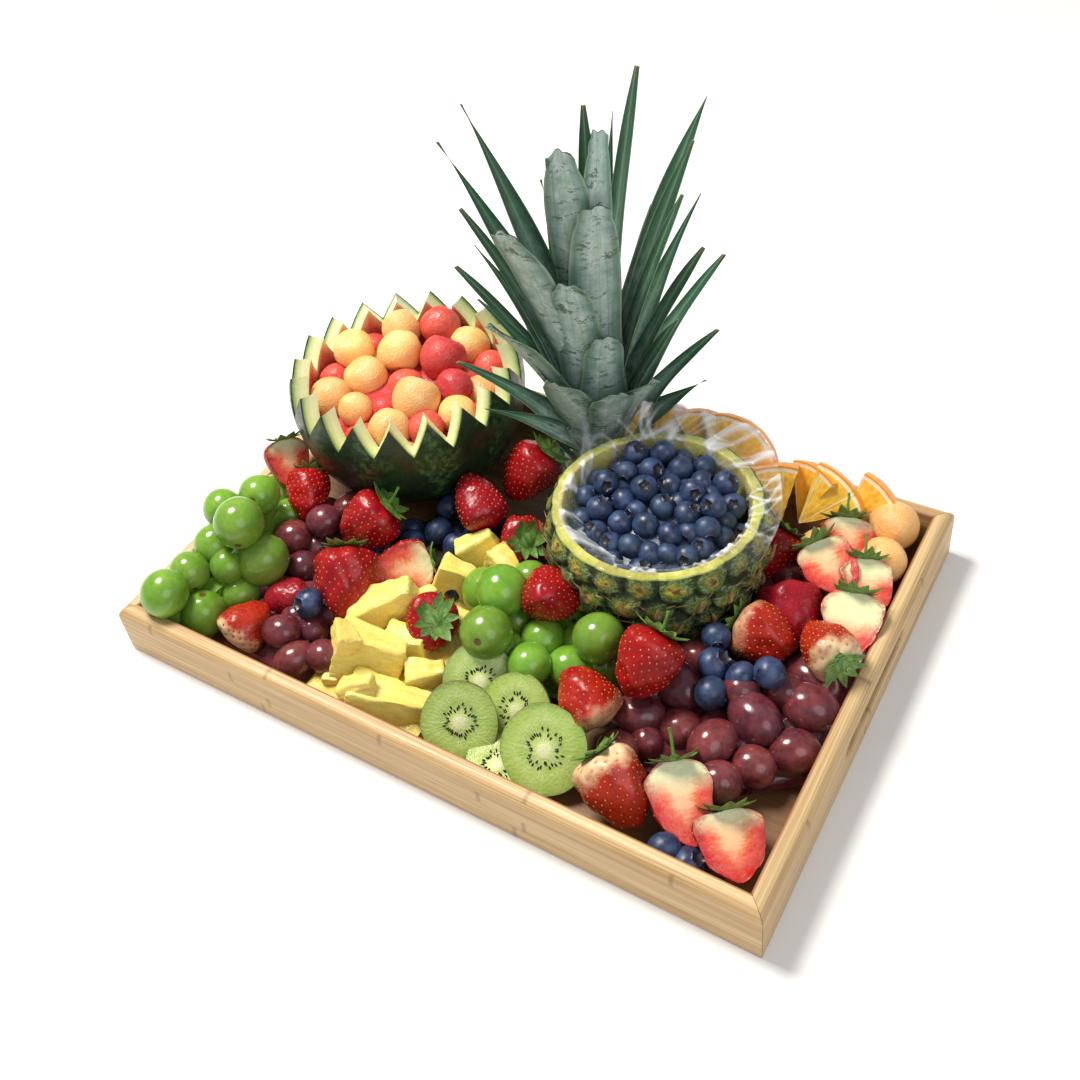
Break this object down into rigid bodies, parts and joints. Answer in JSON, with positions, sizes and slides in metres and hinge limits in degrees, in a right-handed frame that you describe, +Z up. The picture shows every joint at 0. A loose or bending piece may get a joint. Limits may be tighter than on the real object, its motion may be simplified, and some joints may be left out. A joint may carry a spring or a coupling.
{
  "type": "fruit platter",
  "caption": "Bamboo tray heaped with cut fruit, with a zigzag-cut watermelon bowl, a pineapple bowl and its crown.",
  "frame": {"origin": "middle of the tray's flat underside, which rests on the table", "axes": "+X along the tray's long front side to the right, -Y towards the person served, +Z up"},
  "size_m": [0.4, 0.3103, 0.285],
  "materials": {
    "bamboo": "satin, laminated bamboo",
    "watermelon_rind": "waxy rind, moist cut faces",
    "pineapple_skin": "rough skin, moist cut rim",
    "film": "clear crumpled film",
    "blueberry": "dull bloom",
    "melon_ball": "moist flesh",
    "crown_leaf": "dull, whitish bloom",
    "strawberry": "glossy skin with seeds",
    "kiwi": "moist flesh",
    "orange": "moist flesh, pitted peel",
    "cantaloupe": "moist flesh",
    "green_grape": "glossy skin",
    "red_grape": "glossy skin with bloom",
    "pineapple_flesh": "moist flesh"
  },
  "bodies": {
    "root": {"tray_floor": "bamboo", "tray_front": "bamboo", "tray_back": "bamboo", "tray_right": "bamboo", "tray_left": "bamboo", "watermelon_bowl": "watermelon_rind", "pineapple_bowl": "pineapple_skin", "bowl_film": "film", "bowl_blueberries": "blueberry", "melon_balls": "melon_ball", "pineapple_crown": "crown_leaf", "strawberry_back_left_half": "strawberry", "strawberry_left_small": "strawberry", "strawberry_left_big": "strawberry", "strawberry_left_middle": "strawberry", "strawberry_middle_half": "strawberry", "strawberry_front_left_pale": "strawberry", "strawberry_left_dark": "strawberry", "strawberry_middle_dark_back": "strawberry", "strawberry_behind_middle": "strawberry", "strawberry_beside_bowl": "strawberry", "strawberry_middle_capped": "strawberry", "strawberry_by_bowl_round": "strawberry", "strawberry_front_of_bowl": "strawberry", "strawberry_on_kiwi": "strawberry", "strawberry_front_whole": "strawberry", "strawberry_front_half": "strawberry", "strawberry_corner_half": "strawberry", "strawberry_right_pale": "strawberry", "strawberry_right_dark": "strawberry", "strawberry_right_half": "strawberry", "strawberry_back_half": "strawberry", "strawberry_edge_half": "strawberry", "strawberry_pale_half": "strawberry", "strawberry_edge_pale": "strawberry", "strawberry_behind_right": "strawberry", "kiwi_left": "kiwi", "kiwi_right": "kiwi", "kiwi_behind": "kiwi", "kiwi_between": "kiwi", "kiwi_low": "kiwi", "orange_back_1": "orange", "orange_back_2": "orange", "orange_big": "orange", "orange_fan_1": "orange", "orange_fan_2": "orange", "orange_fan_3": "orange", "orange_fan_4": "orange", "cantaloupe_ball_1": "cantaloupe", "cantaloupe_ball_2": "cantaloupe", "cantaloupe_ball_3": "cantaloupe", "green_grapes_left": "green_grape", "green_grapes_middle": "green_grape", "red_grapes_left": "red_grape", "blueberries_right": "blueberry", "red_grapes_right": "red_grape", "pineapple_chunks": "pineapple_flesh", "blueberries_middle": "blueberry", "blueberries_front": "blueberry", "blueberry_left": "blueberry"}
  },
  "joints": []
}
